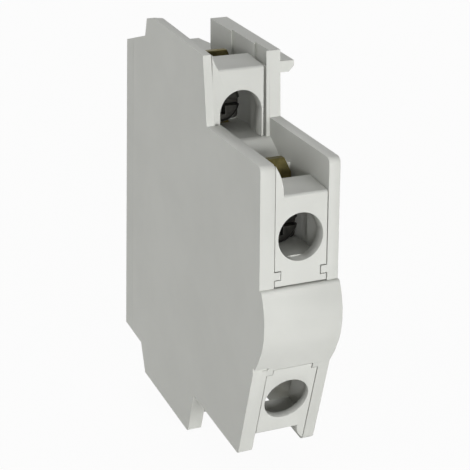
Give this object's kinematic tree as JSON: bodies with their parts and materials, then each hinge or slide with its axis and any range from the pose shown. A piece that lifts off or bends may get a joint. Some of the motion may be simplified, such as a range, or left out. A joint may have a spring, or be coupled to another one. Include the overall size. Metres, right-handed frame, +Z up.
{
  "type": "auxiliary contact block",
  "caption": "Narrow side-mounted auxiliary contact block with stepped screw terminals, a rounded nose, a hooked top rail and a spring-returned contact carrier.",
  "frame": {"origin": "centre of the upper front screw-access hole, on the shroud's front face", "axes": "+X across the block towards its mounting face, +Y from front to back, +Z up"},
  "size_m": [0.0155, 0.0493, 0.0612],
  "materials": {
    "housing_plastic": "fine matte warm grey moulding",
    "cover_plastic": "fine matte warm grey moulding",
    "shroud_plastic": "fine matte pale grey moulding",
    "carrier_plastic": "satin dark grey moulding",
    "screw_steel": "zinc plated",
    "clamp_steel": "zinc plated",
    "strip_brass": "stamped brass",
    "bridge_brass": "stamped brass",
    "button_silver": "silver alloy",
    "spring_steel": "drawn steel wire"
  },
  "bodies": {
    "casing": {"housing": "housing_plastic", "rear_cover": "cover_plastic", "return_spring": "spring_steel", "upper_front_shroud": "shroud_plastic", "upper_front_contact_strip": "strip_brass", "upper_front_fixed_button": "button_silver", "upper_rear_shroud": "shroud_plastic", "upper_rear_contact_strip": "strip_brass", "upper_rear_fixed_button": "button_silver", "lower_front_shroud": "shroud_plastic", "lower_front_contact_strip": "strip_brass", "lower_front_fixed_button": "button_silver", "lower_rear_shroud": "shroud_plastic", "lower_rear_contact_strip": "strip_brass", "lower_rear_fixed_button": "button_silver"},
    "carrier": {"contact_carrier": "carrier_plastic", "nc_contact_spring": "spring_steel", "no_contact_spring": "spring_steel"},
    "nc_bridge_group": {"nc_bridge": "bridge_brass", "nc_bridge_upper_button": "button_silver", "nc_bridge_lower_button": "button_silver"},
    "no_bridge_group": {"no_bridge": "bridge_brass", "no_bridge_upper_button": "button_silver", "no_bridge_lower_button": "button_silver"},
    "upper_front_clamp": {"upper_front_clamp_plate": "clamp_steel"},
    "upper_front_screw_group": {"upper_front_screw": "screw_steel"},
    "upper_rear_clamp": {"upper_rear_clamp_plate": "clamp_steel"},
    "upper_rear_screw_group": {"upper_rear_screw": "screw_steel"},
    "lower_front_clamp": {"lower_front_clamp_plate": "clamp_steel"},
    "lower_front_screw_group": {"lower_front_screw": "screw_steel"},
    "lower_rear_clamp": {"lower_rear_clamp_plate": "clamp_steel"},
    "lower_rear_screw_group": {"lower_rear_screw": "screw_steel"}
  },
  "joints": [
    {"name": "carrier_slide", "type": "slide", "parent": "casing", "child": "carrier", "axis": [0, 1, 0], "range_m": [0, 0.004], "stiffness_N_per_m": 150, "springref_m": -0.004, "deforming": ["return_spring"]},
    {"name": "nc_bridge_slide", "type": "slide", "parent": "carrier", "child": "nc_bridge_group", "axis": [0, 1, 0], "range_m": [-0.001, 0], "deforming": ["nc_contact_spring"]},
    {"name": "no_bridge_slide", "type": "slide", "parent": "carrier", "child": "no_bridge_group", "axis": [0, 1, 0], "range_m": [-0.001, 0], "deforming": ["no_contact_spring"]},
    {"name": "upper_front_clamp_slide", "type": "slide", "parent": "casing", "child": "upper_front_clamp", "axis": [0, -1, 0], "range_m": [0, 0.0024]},
    {"name": "upper_front_screw_turn", "type": "hinge", "parent": "upper_front_clamp", "child": "upper_front_screw_group", "pos_m": [0, 0.007, 0], "axis": [0, -1, 0], "range_deg": [0, 1440]},
    {"name": "upper_rear_clamp_slide", "type": "slide", "parent": "casing", "child": "upper_rear_clamp", "axis": [0, -1, 0], "range_m": [0, 0.0024]},
    {"name": "upper_rear_screw_turn", "type": "hinge", "parent": "upper_rear_clamp", "child": "upper_rear_screw_group", "pos_m": [-0.0004, 0.0246, 0.01305], "axis": [0, -1, 0], "range_deg": [0, 1440]},
    {"name": "lower_front_clamp_slide", "type": "slide", "parent": "casing", "child": "lower_front_clamp", "axis": [0, -0.9511, -0.309], "range_m": [0, 0.0024]},
    {"name": "lower_front_screw_turn", "type": "hinge", "parent": "lower_front_clamp", "child": "lower_front_screw_group", "pos_m": [0, 0.01016, -0.02294], "axis": [0, -0.9511, -0.309], "range_deg": [0, 1440]},
    {"name": "lower_rear_clamp_slide", "type": "slide", "parent": "casing", "child": "lower_rear_clamp", "axis": [0, -0.9511, -0.309], "range_m": [0, 0.0024]},
    {"name": "lower_rear_screw_turn", "type": "hinge", "parent": "lower_rear_clamp", "child": "lower_rear_screw_group", "pos_m": [0, 0.02755, -0.02696], "axis": [0, -0.9511, -0.309], "range_deg": [0, 1440]}
  ],
  "couplings": [
    {"joint": "nc_bridge_slide", "follows": "carrier_slide", "ratio": -0.25},
    {"joint": "no_bridge_slide", "follows": "carrier_slide", "ratio": -0.25},
    {"joint": "upper_front_screw_turn", "follows": "upper_front_clamp_slide", "rad_per_m": 10472},
    {"joint": "upper_rear_screw_turn", "follows": "upper_rear_clamp_slide", "rad_per_m": 10472},
    {"joint": "lower_front_screw_turn", "follows": "lower_front_clamp_slide", "rad_per_m": 10472},
    {"joint": "lower_rear_screw_turn", "follows": "lower_rear_clamp_slide", "rad_per_m": 10472}
  ]
}
